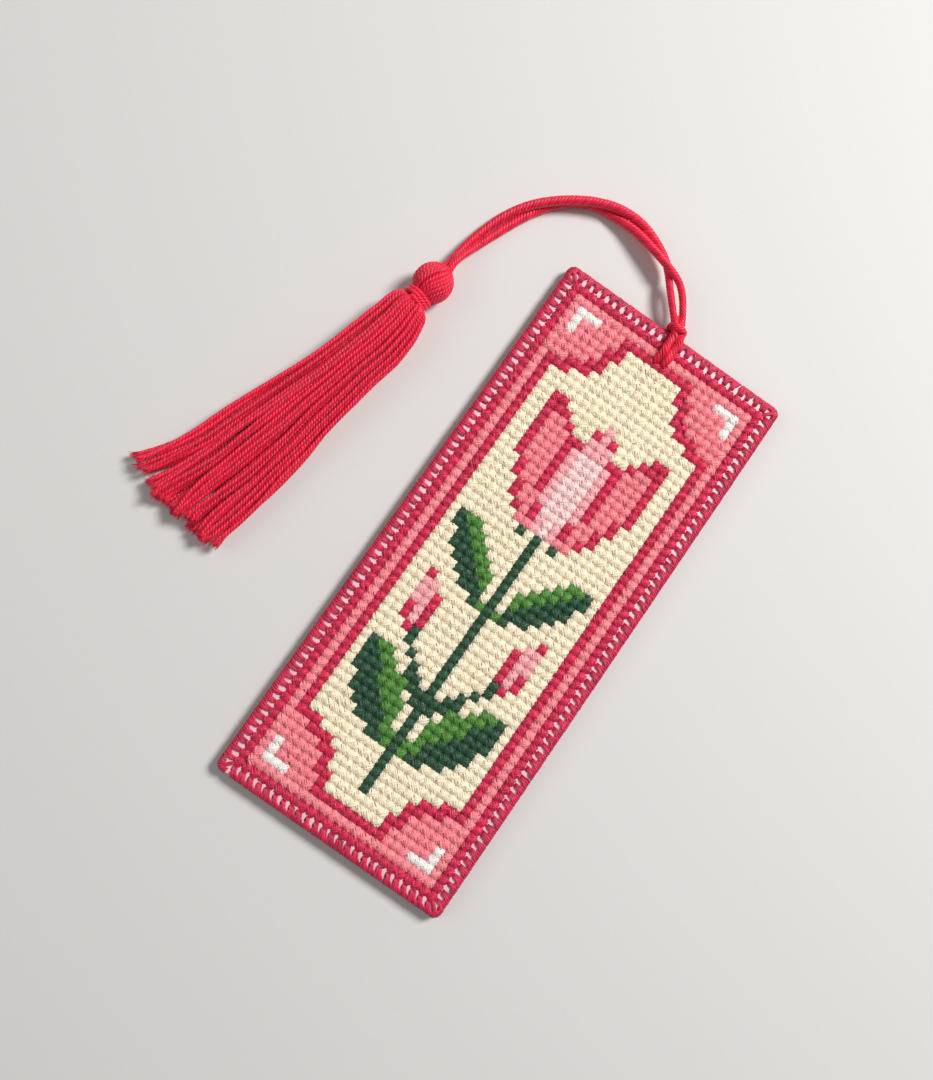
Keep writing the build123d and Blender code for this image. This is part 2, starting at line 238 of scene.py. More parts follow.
cameraSettings = {
    "place": (-14.49, -14.96, 191.44),
    "aim": (-10.96, 2.48, 2.5),
    "upTurn": 125.0,         # where the picture's top lies, in degrees from the panel's +X
    "focalPixels": 1000,
    "pictureHeight": 1080,
    "sensor": 36.0,
    "nearest": 10,
}


def makeCamera(s):
    data = bpy.data.cameras.new("photoCamera")
    data.sensor_width = s["sensor"]
    data.lens = s["sensor"] * s["focalPixels"] / s["pictureHeight"]
    data.clip_start = s["nearest"] * mm
    place = Vector(s["place"]) * mm
    forward = (Vector(s["aim"]) * mm - place).normalized()
    pictureUp = Vector((cos(radians(s["upTurn"])), sin(radians(s["upTurn"])), 0))
    right = forward.cross(pictureUp).normalized()
    turn = Matrix((right, right.cross(forward), -forward)).transposed()
    camera = bpy.data.objects.new("photoCamera", data)
    camera.matrix_world = Matrix.Translation(place) @ turn.to_4x4()
    bpy.context.scene.collection.objects.link(camera)
    bpy.context.scene.camera = camera


makeCamera(cameraSettings)
print("camera set")


# Floor and light

studioSettings = {
    "floorSize": 3000,
    "floorColour": (224, 222, 219),
    "floorRoughness": 0.9,
    "floorSpecular": 0.1,
    "worldColour": (0.96, 0.98, 1.0),
    "worldStrength": 0.20,
    "lamps": (
        # name, place, size, power in watts
        ("keyLamp", (240, 430, 520), 240, 5.1),
        ("fillLamp", (-480, -180, 420), 520, 0.7),
    ),
}


def makeStudio(s):
    half = s["floorSize"] / 2 * mm
    corners = [(-half, -half, 0), (half, -half, 0), (half, half, 0), (-half, half, 0)]
    mesh = bpy.data.meshes.new("floor")
    mesh.from_pydata(corners, [], [(0, 1, 2, 3)])
    floor = bpy.data.objects.new("floor", mesh)
    bpy.context.scene.collection.objects.link(floor)
    material, _, shader = startMaterial("paleFloor")
    shader.inputs["Base Color"].default_value = (*linear(s["floorColour"]), 1)
    shader.inputs["Roughness"].default_value = s["floorRoughness"]
    shader.inputs["Specular IOR Level"].default_value = s["floorSpecular"]
    mesh.materials.append(material)
    world = bpy.data.worlds.new("studio")
    world.use_nodes = True
    sky = world.node_tree.nodes["Background"]
    sky.inputs["Color"].default_value = (*s["worldColour"], 1)
    sky.inputs["Strength"].default_value = s["worldStrength"]
    bpy.context.scene.world = world
    for name, place, size, power in s["lamps"]:
        data = bpy.data.lights.new(name, "AREA")
        data.shape = "DISK"
        data.size = size * mm
        data.energy = power
        lamp = bpy.data.objects.new(name, data)
        lamp.location = Vector(place) * mm
        lamp.rotation_euler = (-lamp.location).to_track_quat("-Z", "Y").to_euler()
        bpy.context.scene.collection.objects.link(lamp)
    bpy.context.scene.view_settings.view_transform = "Standard"


makeStudio(studioSettings)
print("studio set")


# Thread materials: cotton with streaks of fibre along the twist, a tone that differs between strands, and
# painted shade where the thread lies deep

threadColours = {
    # the colour, and how far its light and dark fibres differ and how deep its painted shade goes
    "crimson": ((214, 33, 79), 1.75),
    "lightCoral": ((255, 147, 154), 1.1),
    "coral": ((255, 142, 151), 1.1),
    "white": ((255, 246, 240), 0.6),
    "cream": ((255, 240, 210), 0.7),
    "lightPink": ((255, 180, 184), 0.9),
    "palePink": ((255, 218, 214), 0.8),
    "darkGreen": ((34, 80, 52), 1.3),
    "leafGreen": ((84, 142, 54), 1.2),
    "cordRed": ((236, 12, 62), 1.5),
}

threadSettings = {
    "fibreScale": 1.7,
    "fibreDetail": 4,
    "fibreRange": (0.5, 1.5),
    "shadeRange": (0.45, 1.12),
    "roughness": (0.36, 0.60),
    "bumpDepth": 0.06,
    "bumpStrength": 0.6,
    "sheen": 0.16,
    "sheenRoughness": 0.4,
    "specular": 0.55,
}


def threadMaterial(name, colour, contrast, s):
    material, tree, shader = startMaterial(name)
    fibreRange = [1 + (value - 1) * contrast for value in s["fibreRange"]]
    shadeRange = [1 + (value - 1) * contrast for value in s["shadeRange"]]
    fibre = attribute(tree, "fibre", "Vector")
    streaks = noise(tree, fibre, Scale=s["fibreScale"], Detail=s["fibreDetail"])
    fibreTone = spread(tree, streaks, *fibreRange)
    # the shade attribute: a tone for each strand, times painted shade where the thread lies deep
    strandTone = spread(tree, attribute(tree, "shade", "Fac"), *shadeRange)
    tintBy(tree, product(tree, fibreTone, strandTone), colour, shader)
    tree.links.new(spread(tree, streaks, *s["roughness"]), shader.inputs["Roughness"])
    bumpBy(tree, streaks, s["bumpStrength"], s["bumpDepth"], shader)
    shader.inputs["Sheen Weight"].default_value = s["sheen"]
    shader.inputs["Sheen Roughness"].default_value = s["sheenRoughness"]
    shader.inputs["Specular IOR Level"].default_value = s["specular"]
    return material


threads = {}
for threadName, (dye, contrast) in threadColours.items():
    threads[threadName] = threadMaterial(threadName + "Thread", dye, contrast, threadSettings)
print("threads dyed:", len(threads))


# Cord: both legs and the bight in the head, as one line in three stretches

cordSettings = {
    # x, y, z, how far apart the legs lie and how far the second one lies over the first, from the hitch to
    # the tassel; the legs cross near the hitch, where the fourth value first changes its sign, and lie on
    # each other past the crest, where it is small
    "route": (
        (-1.2, 60.4, 3.38, -1.3, 0.0), (-3.2, 63.2, 3.40, -2.1, 0.0), (-5.5, 65.9, 3.40, -2.3, 0.1),
        (-7.2, 67.4, 3.30, -1.4, 0.8), (-8.7, 68.4, 3.20, 0.0, 1.8), (-10.6, 69.6, 3.10, 1.0, 1.2),
        (-14.4, 71.2, 2.80, 1.75, 0.7), (-19.0, 72.5, 2.40, 1.95, -0.3), (-23.8, 72.4, 2.10, 1.3, -1.5),
        (-27.8, 71.5, 2.00, 0.0, -1.95), (-31.3, 69.7, 2.00, -0.4, -1.95), (-34.6, 66.9, 2.00, 0.0, -1.95),
        (-37.7, 63.2, 1.85, 1.0, -1.6), (-40.0, 59.3, 1.35, 1.9, -0.6), (-41.8, 54.9, 1.15, 2.0, 0.0),
        (-43.1, 50.4, 1.70, 1.6, 0.4), (-43.8, 46.4, 2.90, 1.0, 1.0), (-44.0, 43.8, 3.55, 0.8, 1.1),
    ),
    "bight": ((-45.83, 39.49, 3.75), (-42.52, 38.70, 3.75)),
    "diameter": 1.5,
    "plies": 5,
    "plyRadius": 0.33,
    "plyOffset": 0.45,
    "plyPitch": 3.4,
    "sides": 7,
    "twist": 1.2,            # turn of the fibres, in radians a millimetre
    "smoothness": 24,        # points of the smooth line for each point of the route
    "spacing": 0.2,
    "swell": ((3, 10, 20, 52, 63), (0.92, 1.0, 1.25, 1.25, 1.0)),     # way from the hitch, and fullness
    "legLength": 57.0,
    "hitchBlend": ((-1.2, 60.6, 3.4), (-4.2, 64.4, 3.4)),
    "headBlend": ((-43.1, 50.6, 1.7), (-44.0, 44.0, 3.6)),
    "seed": 11,
}


def legPoints(route, side):
    # One leg's points: side is -1 for the left leg and 1 for the right one
    points = []
    for index, (x, y, z, apart, over) in enumerate(route):
        before = route[max(index - 1, 0)]
        after = route[min(index + 1, len(route) - 1)]
        runX, runY = after[0] - before[0], after[1] - before[1]
        aside = side * apart / 2 / np.hypot(runX, runY)
        points.append((x - aside * runY, y + aside * runX, z + side * over / 2))
    return points


def splinePoints(points, smoothness):
    # The smooth line of a NURBS spline with these control points
    data = bpy.data.curves.new("cordLine", "CURVE")
    data.dimensions = "3D"
    data.resolution_u = smoothness
    spline = data.splines.new("NURBS")
    spline.points.add(len(points) - 1)
    for point, place in zip(spline.points, points):
        point.co = (*place, 1)
    spline.order_u = 3
    spline.use_endpoint_u = True
    curve = bpy.data.objects.new("cordLine", data)
    mesh = bpy.data.meshes.new_from_object(curve)
    line = np.array([v.co for v in mesh.vertices])
    bpy.data.objects.remove(curve)
    bpy.data.meshes.remove(mesh)
    return line


def makeCord(s):
    draw = np.random.default_rng(s["seed"])
    route = legPoints(s["route"], -1) + list(s["bight"]) + legPoints(s["route"], 1)[::-1]
    line = splinePoints(route, s["smoothness"])
    total = lengthAlong(line[None])[0, -1]
    line = evenly(line, int(total / s["spacing"]))
    along = lengthAlong(line[None])[0]
    full = np.interp(np.minimum(along, total - along), *s["swell"])
    plies = plyPaths(line[None], upward, s["plies"], s["plyOffset"] * full, s["plyPitch"])
    size = s["plyRadius"] * full
    firstCut = int(np.searchsorted(along, s["legLength"]))
    lastCut = int(np.searchsorted(along, total - s["legLength"]))
    stretches = {
        "cordLeftLeg": slice(0, firstCut + 1),
        "cordBight": slice(firstCut, lastCut + 1),
        "cordRightLeg": slice(lastCut, None),
    }
    pieces = {}
    for name, stretch in stretches.items():
        girth = size[stretch]
        mesh = tubeMesh(name, plies[:, stretch], girth, girth, s["sides"], upward, s["twist"], draw)
        pieces[name] = addPiece(name, mesh, threads["cordRed"], ("hanging_cord",))
    for name in ("cordLeftLeg", "cordRightLeg"):
        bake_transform(pieces[name])
    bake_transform(pieces["cordBight"])
    print("cord twisted,", round(total, 1), "mm")


makeCord(cordSettings)


# Hitch: the same cord, through the slot and round the top edge

hitchSettings = {
    # the right half, from the leg under the bight, down the front, through the slot and up to the bight
    "half": (
        (0.64, 61.60, 3.38), (0.64, 60.40, 3.40), (0.68, 59.20, 3.50), (0.74, 57.80, 3.76),
        (0.77, 56.40, 3.84), (0.77, 54.80, 3.84), (0.79, 53.60, 3.66), (0.82, 52.65, 2.95),
        (0.82, 52.45, 1.90), (0.84, 52.75, 1.05), (0.95, 53.50, 0.80), (1.10, 55.20, 0.80),
        (1.30, 57.40, 0.82), (1.36, 58.90, 1.00), (1.36, 59.55, 1.90), (1.36, 59.68, 2.80),
        (1.28, 59.70, 3.60), (0.95, 59.70, 4.10), (0.50, 59.70, 4.30),
    ),
    "middle": (0.0, 59.70, 4.34),
    "leanFrom": 58.2,        # past this the legs and the bight are drawn to the left
    "lean": -0.6,
    "steps": 260,
    "flatWidth": 1.22,       # the two strands lie pressed on the front, wider than high
    "flatHeight": 0.62,
    "pressedAlong": ((57.8, 59.0), (1, 0)),     # by y, and by height
    "pressedOver": ((3.0, 3.6), (0, 1)),
    "seed": 12,
}


def makeHitch(s, rope):
    left = [(-x, y, z) for x, y, z in s["half"]]
    line = smoothPath(list(s["half"]) + [s["middle"]] + left[::-1], s["steps"])
    line[:, 0] += s["lean"] * np.maximum(line[:, 1] - s["leanFrom"], 0)
    pressed = np.interp(line[:, 1], *s["pressedAlong"]) * np.interp(line[:, 2], *s["pressedOver"])
    wide = 1 + (s["flatWidth"] - 1) * pressed
    high = 1 + (s["flatHeight"] - 1) * pressed
    plies = plyPaths(line[None], upward, rope["plies"], rope["plyOffset"], rope["plyPitch"])
    plies = line + (plies - line) * np.stack([wide, np.ones_like(wide), high], axis=-1)
    mesh = tubeMesh(
        "cordHitch", plies, rope["plyRadius"] * wide, rope["plyRadius"] * high, rope["sides"], upward,
        rope["twist"], np.random.default_rng(s["seed"]),
    )
    addPiece("cordHitch", mesh, threads["cordRed"], ("cord_hitch",), "panel")
    print("hitch tied")


makeHitch(hitchSettings, cordSettings)


# Cross-stitches: each pad of the frame is worked cell by cell, four strands under and three over

stitchSettings = {
    "pitch": 1.814,          # 14 to the inch
    "columns": 25,
    "rows": 62,
    "points": 8,
    "sides": 6,
    "firstShare": 0.02,      # where along a leg its first point lies
    "reach": 0.98,           # how far a leg goes towards the cell's corners
    "sink": 0.5,             # ends below the canvas's face, in its holes
    "plump": 0.62,           # power of the bulge along a leg
    "underStrands": 4,
    "underHeight": 0.32,
    "underRadius": 0.21,
    "underSpacing": 0.36,
    "overStrands": 3,
    "overHeight": 0.42,
    "overRadius": 0.2,
    "overSpacing": 0.25,
    "outerDrop": 0.22,       # how much lower a strand lies for each place from its leg's middle, as a share
    "endSpacing": 0.18,
    "endRadius": 0.72,       # as a share of the radius in the middle
    # painted shade on the ends of the legs, where 1 is fully lit
    "endShade": 0.3,
    "shadeRise": 0.5,        # the share of the rise by which a leg is fully lit
    "flat": 0.92,            # a strand's height as a share of its width
    "jitter": 0.07,
    "jitterLift": 0.6,       # the jitter in height as a share of that to the sides
    "twist": 4.5,            # turn of the fibres, in radians a millimetre
    "largest": 280,          # crosses in one piece
    "seed": 100,
}

stitchThreads = {
    "outer_frame": ("crimson", "thread_crimson"),
    "frame_stripe": ("lightCoral", "thread_light_coral"),
    "inner_frame": ("crimson", "thread_crimson"),
    "corner_panel": ("coral", "thread_coral"),
    "corner_accent": ("white", "thread_white"),
    "ground": ("cream", "thread_cream"),
    "petal_outline": ("crimson", "thread_crimson"),
    "petal_middle": ("coral", "thread_coral"),
    "petal_light": ("lightPink", "thread_light_pink"),
    "petal_heart": ("palePink", "thread_pale_pink"),
    "leaf_dark": ("darkGreen", "thread_dark_green"),
    "leaf_light": ("leafGreen", "thread_leaf_green"),
    "stem": ("darkGreen", "thread_dark_green"),
}

pitch = stitchSettings["pitch"]
columns, rows = stitchSettings["columns"], stitchSettings["rows"]
fieldX, fieldY = columns * pitch / 2, rows * pitch / 2     # half of the stitched field
canvasTop = boxOf("outer_frame_stitches")[0][2]            # the pads lie on the canvas


def cellsOf(node):
    # Middles of the cells that lie under the pad
    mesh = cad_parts[node].data
    pad = BVHTree.FromPolygons([v.co for v in mesh.vertices], [p.vertices for p in mesh.polygons])
    down = Vector((0, 0, -1))
    cells = []
    for row in range(rows):
        for column in range(columns):
            x = (column - (columns - 1) / 2) * pitch
            y = (row - (rows - 1) / 2) * pitch
            if pad.ray_cast(Vector((x * mm, y * mm, 0)) - down, down)[0] is not None:
                cells.append((x, y))
    return np.array(cells)


def legShares(s):
    # Points along a leg, closer together where it dives
    return 0.5 - 0.5 * np.cos(pi * np.linspace(s["firstShare"], 1 - s["firstShare"], s["points"]))


def legPaths(middles, lean, strands, height, spacing, s, draw):
    # Strands of one leg of each cross: lean is 1 for a leg up to the right, -1 for the other
    t = legShares(s)
    bulge = np.sin(pi * t) ** s["plump"]
    heading = np.array([1, lean]) / sqrt(2)
    side = np.array([-lean, 1]) / sqrt(2)
    half = pitch * sqrt(2) / 2 * s["reach"]
    made = []
    for strand in range(strands):
        place = strand - (strands - 1) / 2
        wobble = draw.normal(0, s["jitter"], (len(middles), 3))
        aside = place * (s["endSpacing"] + (spacing - s["endSpacing"]) * bulge)
        flat = heading * ((2 * t - 1) * half)[:, None] + side * aside[:, None]
        crest = height * (1 - s["outerDrop"] * abs(place)) + s["sink"] + wobble[:, 2:] * s["jitterLift"]
        paths = np.empty((len(middles), s["points"], 3))
        paths[:, :, :2] = middles[:, None] + flat + wobble[:, None, :2] * bulge[:, None]
        paths[:, :, 2] = canvasTop - s["sink"] + crest * bulge
        made.append(paths)
    return np.concatenate(made)


def makeStitches(s):
    rise = np.sin(pi * legShares(s))
    swell = s["endRadius"] + (1 - s["endRadius"]) * rise
    # painted shade: each leg darker towards its ends, where it dives into the canvas's holes
    light = np.interp(rise, (0, s["shadeRise"]), (s["endShade"], 1))
    total = 0
    for index, (thread, (colour, slot)) in enumerate(stitchThreads.items()):
        draw = np.random.default_rng(s["seed"] + index)
        node = thread + "_stitches"
        every = cellsOf(node)
        word = thread.title().replace("_", "")
        word = word[0].lower() + word[1:] + "Stitches"
        parts = ceil(len(every) / s["largest"])
        for part, middles in enumerate(np.array_split(every, parts)):
            under = legPaths(middles, -1, s["underStrands"], s["underHeight"], s["underSpacing"], s, draw)
            over = legPaths(middles, 1, s["overStrands"], s["overHeight"], s["overSpacing"], s, draw)
            paths = np.concatenate([under, over])
            radius = np.repeat([s["underRadius"], s["overRadius"]], [len(under), len(over)])
            wide = radius[:, None] * swell * (1 + draw.normal(0, s["jitter"], (len(paths), 1)))
            name = word if parts == 1 else word + str(part + 1)
            mesh = tubeMesh(name, paths, wide, wide * s["flat"], s["sides"], upward, s["twist"], draw, light)
            addPiece(name, mesh, threads[colour], (node,), "panel")
            print(name, len(middles), "crosses,", len(mesh.polygons), "faces")
        total += len(every)
    print("crosses worked:", total)


makeStitches(stitchSettings)


# Overcast edge: groups of strands out of each edge hole, fanned over the rim and back under the felt

overcastSettings = {
    "strands": 4,
    "holeSpacing": 0.2,
    "rimSpacing": 0.4535,
    "radius": 0.245,
    "sides": 6,
    "points": 20,
    "frontPoints": 7,        # how many of them lie on the front
    # for the top, right, bottom and left: drift in stitches over the front, and over the rim to the back
    "drifts": ((0.0, 0.7), (0.08, 0.7), (-0.3, -0.8), (0.08, 0.7)),
    "driftReach": (0.34, 1.36),     # between these ways out the front drifts
    "widths": (1.0, 1.1, 1.3, 1.1),
    "holeUneven": 0.2,       # how much the groups differ in width, as a share
    "narrowest": 0.6,
    "holeDrift": 0.06,
    "strandDrift": 0.08,     # in places
    "cornerCentre": 0.7,     # out from the field's corner to the middle of the rounded corner
    "cornerStrands": 6,
    "cornerTurn": 0.3,       # drift over the rounded corner, in stitches
    "gapStrands": 2,         # between the last group of a side and the rounded corner
    "gapDrift": 0.35,
    "cornerGroup": 3,        # strands out of the field's corner
    "cornerWidth": 0.8,
    "cornerDrift": 0.3,      # in millimetres
    "cornerReach": 1.13,     # the way over a corner against the way over a side
    "cornerSkips": 3,        # points of the front that the corner's own start takes the place of
    "cornerStart": ((-0.75, 2.10, 0.0, 0.0), (-0.45, 2.55, 0.0, 0.0), (0.0, 2.70, 0.0, 0.0)),
    # out from the field's edge, height, share of the fan and share of the drift along one strand: the front
    # from its hole, the rim, and the back; the tucks begin and end the strands that come out of no hole
    "front": (
        (0.14, 1.75, 0.0, 0.0), (0.14, 2.30, 0.0, 0.0), (0.34, 2.66, 0.0, 0.0),
        (0.75, 2.74, 0.0, 0.0), (1.22, 2.78, 0.0, 0.0), (1.36, 2.81, 0.8, 0.0),
    ),
    "rim": (
        (1.64, 2.78, 1.0, 0.1), (2.10, 2.52, 1.0, 0.25), (2.24, 2.05, 1.0, 0.4),
        (2.24, 1.35, 1.0, 0.6), (2.14, 0.68, 1.0, 0.75), (1.85, 0.33, 1.0, 0.9),
    ),
    "back": ((1.40, 0.29, 0.7, 1.0), (0.85, 0.29, 0.1, 1.0), (0.55, 0.42, 0.0, 1.0)),
    "tuck": ((1.26, 2.42, 1.0, 0.0), (1.40, 2.70, 1.0, 0.05)),
    "tuckBack": ((1.45, 0.30, 1.0, 1.0), (1.25, 0.52, 1.0, 1.0)),
    "taper": ((0.15, 0.35), (0.8, 1.0)),        # radius by the share of the way
    "holeShade": ((2.3, 2.8), (0.4, 1.0)),      # by height, down into the hole
    "rimShade": ((0.4, 1.0, 1.7, 2.75), (1.0, 0.6, 0.6, 1.0)),     # by height, painted shade down the rim's side, where strands press together
    "up": (0.3, 0.2, 1),
    "twist": 4.5,
    "jitter": 0.1,
    "seed": 31,
}


def wrapPath(points, base, out, along, place, s, slant, lean=0.0, width=1.0):
    # One strand over the edge: place is its number in the group, counted from the group's middle
    reach, height, fan, drift = np.array(points).T
    gap = s["holeSpacing"] * width * (1 - fan) + s["rimSpacing"] * fan
    across = place * gap + slant * drift + lean * np.interp(reach, s["driftReach"], (0, 1))
    spots = base + out * reach[:, None] + along * across[:, None]
    spots[:, 2] = height
    return smoothPath(spots, s["points"])


def makeOvercast(s):
    draw = np.random.default_rng(s["seed"])
    whole = s["front"] + s["rim"] + s["back"]
    short = s["tuck"] + s["rim"] + s["tuckBack"]
    longer = np.array(s["cornerStart"] + whole[s["cornerSkips"]:])
    longer[:, 0] *= s["cornerReach"]
    outs = np.array([(0, 1, 0), (1, 0, 0), (0, -1, 0), (-1, 0, 0)], float)
    runs = ((fieldY, fieldX, columns), (fieldX, fieldY, rows)) * 2
    paths = []
    for out, (reach, halfRun, cells), drifts, wide in zip(outs, runs, s["drifts"], s["widths"]):
        along = np.array([out[1], -out[0], 0])
        lean, slant = pitch * drifts[0], pitch * drifts[1]
        for cell in range(cells):
            base = out * reach + along * (cell - (cells - 1) / 2) * pitch
            base = base + along * draw.normal(0, s["holeDrift"])
            width = wide * max(1 + draw.normal(0, s["holeUneven"]), s["narrowest"])
            for strand in range(s["strands"]):
                place = strand - (s["strands"] - 1) / 2 + draw.normal(0, s["strandDrift"])
                paths.append(wrapPath(whole, base, out, along, place, s, slant, lean, width))
        corner = out * reach + along * halfRun
        turned = (out + along) / sqrt(2), (along - out) / sqrt(2)
        for strand in range(s["cornerGroup"]):
            place = strand - (s["cornerGroup"] - 1) / 2 + draw.normal(0, s["strandDrift"])
            paths.append(wrapPath(longer, corner, *turned, place, s, s["cornerDrift"], 0.0, s["cornerWidth"]))
        for strand in range(s["gapStrands"]):
            shift = halfRun + (strand + 0.5) * s["cornerCentre"] / s["gapStrands"]
            for end in (-1, 1):
                base = out * reach + along * shift * end
                paths.append(wrapPath(short, base, out, along, 0, s, pitch * s["gapDrift"]))
        centre = out * (reach + s["cornerCentre"]) + along * (halfRun + s["cornerCentre"])
        for strand in range(s["cornerStrands"]):
            turn = (strand + 0.5) / s["cornerStrands"] * pi / 2
            outTurned = out * cos(turn) + along * sin(turn)
            alongTurned = along * cos(turn) - out * sin(turn)
            base = centre - outTurned * s["cornerCentre"]
            paths.append(wrapPath(short, base, outTurned, alongTurned, 0, s, pitch * s["cornerTurn"]))
    paths = np.array(paths)
    height = paths[..., 2]
    radius = s["radius"] * (1 + draw.normal(0, s["jitter"], (len(paths), 1)))
    radius = radius * np.interp(np.arange(s["points"]) / s["points"], *s["taper"])
    inFront = np.arange(s["points"]) < s["frontPoints"]
    # painted shade: darker down in the holes on the front, and down the rim's side
    light = np.where(inFront, np.interp(height, *s["holeShade"]), np.interp(height, *s["rimShade"]))
    mesh = tubeMesh("overcastEdge", paths, radius, radius, s["sides"], s["up"], s["twist"], draw, light)
    addPiece("overcastEdge", mesh, threads["crimson"], ("overcast_edging",), "panel")
    print("edge overcast with", len(paths), "strands,", len(mesh.polygons), "faces")


makeOvercast(overcastSettings)


# Canvas: a moulded plate with a hole at every corner of the crosses, and the row of edge holes

canvasSettings = {
    "colour": (252, 204, 215),
    "grainScale": 2200,
    "tone": (0.9, 1.06),
    "roughness": (0.32, 0.5),
    "bumpStrength": 0.3,
    "bumpDepth": 0.03,
    "hole": 1.34,
    "edgeHole": (0.78, 1.0),
    "edgeHoleOut": 0.62,
    "slot": (3.1, 1.75, 52.6),     # width, length and the middle's y
    "corner": 1.3,
}


def plasticMaterial(s):
    material, tree, shader = startMaterial("palePlastic")
    place = tree.nodes.new("ShaderNodeTexCoord").outputs["Object"]
    grain = noise(tree, place, Scale=s["grainScale"])
    tintBy(tree, spread(tree, grain, *s["tone"]), s["colour"], shader)
    tree.links.new(spread(tree, grain, *s["roughness"]), shader.inputs["Roughness"])
    bumpBy(tree, grain, s["bumpStrength"], s["bumpDepth"], shader)
    return material


def canvasHoles(s):
    # Every opening as low x, high x, low y, high y
    wide, deep = s["edgeHole"]
    slotWide, slotDeep, slotY = s["slot"]
    centres = [(0, slotY, slotWide, slotDeep)]
    for column in range(1, columns):
        for row in range(1, rows):
            centres.append((column * pitch - fieldX, row * pitch - fieldY, s["hole"], s["hole"]))
    for side in (-1, 1):
        for column in range(columns):
            x = (column + 0.5) * pitch - fieldX
            centres.append((x, side * (fieldY + s["edgeHoleOut"]), wide, deep))
        for row in range(rows):
            y = (row + 0.5) * pitch - fieldY
            centres.append((side * (fieldX + s["edgeHoleOut"]), y, deep, wide))
    x, y, width, height = np.array(centres).T
    return np.stack([x - width / 2, x + width / 2, y - height / 2, y + height / 2], axis=1)


def makeCanvas(s):
    # A grid along all the holes' edges, left open in the holes and drawn in at the round corners
    low, high = boxOf("front_canvas")
    holes = canvasHoles(s)
    xs = np.unique(np.round(np.concatenate([holes[:, 0], holes[:, 1], [low[0], high[0]]]), 4))
    ys = np.unique(np.round(np.concatenate([holes[:, 2], holes[:, 3], [low[1], high[1]]]), 4))
    solid = np.zeros((len(xs) + 1, len(ys) + 1), bool)
    solid[1:-1, 1:-1] = True
    middleX, middleY = (xs[1:] + xs[:-1]) / 2, (ys[1:] + ys[:-1]) / 2
    for left, right, below, above in holes:
        inX = (middleX > left) & (middleX < right)
        inY = (middleY > below) & (middleY < above)
        solid[1:-1, 1:-1][np.ix_(inX, inY)] = False
    x, y = np.meshgrid(xs, ys, indexing="ij")
    outX = np.maximum(abs(x) - high[0] + s["corner"], 0)
    outY = np.maximum(abs(y) - high[1] + s["corner"], 0)
    both = (outX > 0) & (outY > 0)
    kept = np.maximum(outX, outY) / np.where(both, np.hypot(outX, outY), 1)
    kept = np.where(both, kept, 1)
    x = x - np.sign(x) * outX * (1 - kept)
    y = y - np.sign(y) * outY * (1 - kept)
    number = np.arange(x.size).reshape(x.shape)
    lift = x.size
    i, j = np.nonzero(solid[1:-1, 1:-1])
    a, b, c, d = number[i, j], number[i + 1, j], number[i + 1, j + 1], number[i, j + 1]
    faces = [np.stack([a, b, c, d], axis=1), np.stack([d, c, b, a], axis=1) + lift]
    for stepX, stepY, first, second in ((0, -1, a, b), (1, 0, b, c), (0, 1, c, d), (-1, 0, d, a)):
        bare = ~solid[i + 1 + stepX, j + 1 + stepY]
        faces.append(np.stack([first + lift, second + lift, second, first], axis=1)[bare])
    faces = np.concatenate(faces)
    spots = np.concatenate([
        np.stack([x, y, np.full_like(x, high[2])], axis=-1).reshape(-1, 3),
        np.stack([x, y, np.full_like(x, low[2])], axis=-1).reshape(-1, 3),
    ]) * mm
    used, faces = np.unique(faces, return_inverse=True)
    mesh = bpy.data.meshes.new("canvasPlate")
    mesh.from_pydata(spots[used].tolist(), [], faces.reshape(-1, 4).tolist())
    addPiece("canvasPlate", mesh, plasticMaterial(s), ("front_canvas",), "panel")
    print("canvas moulded,", len(holes), "holes,", len(mesh.polygons), "faces")


makeCanvas(canvasSettings)


# Felt: a soft mat with pressed edges and a mottled nap

feltSettings = {
    "colour": (150, 22, 50),
    "napScale": 900,
    "napDetail": 6,
    "napDistortion": 1.2,
    "napTone": (0.7, 1.25),
    "cloudScale": 140,
    "cloudTone": (0.85, 1.12),
    "napStrength": 0.8,
    "napDepth": 0.1,
    "roughness": 0.95,
    "sheen": 0.5,
    "step": 0.9,
    "nap": 0.03,
    "rest": 0.05,            # clear of the table
    "seamLift": 0.55,        # how far the felt is pressed up under the overcasting
    "seam": (1.6, 2.5),      # in from the edge, from where it fills out and to where
    "faceGap": 0.02,         # to the canvas
    "edgeDrop": 0.15,
    # the grooves for the cord's two strands: depth, where they start, their way out from the middle and how
    # that widens along y, and their half width at the bottom and at the top
    "grooveDepth": 1.35,
    "grooveStart": (51.5, 52.5),
    "grooveOut": ((53, 59), (0.9, 1.8)),
    "grooveHalf": (0.54, 1.44),
    "seed": 41,
}


def feltMaterial(s):
    material, tree, shader = startMaterial("woolFelt")
    place = tree.nodes.new("ShaderNodeTexCoord").outputs["Object"]
    nap = noise(tree, place, Scale=s["napScale"], Detail=s["napDetail"], Distortion=s["napDistortion"])
    cloud = noise(tree, place, Scale=s["cloudScale"])
    tone = product(tree, spread(tree, nap, *s["napTone"]), spread(tree, cloud, *s["cloudTone"]))
    tintBy(tree, tone, s["colour"], shader)
    bumpBy(tree, nap, s["napStrength"], s["napDepth"], shader)
    shader.inputs["Roughness"].default_value = s["roughness"]
    shader.inputs["Sheen Weight"].default_value = s["sheen"]
    return material


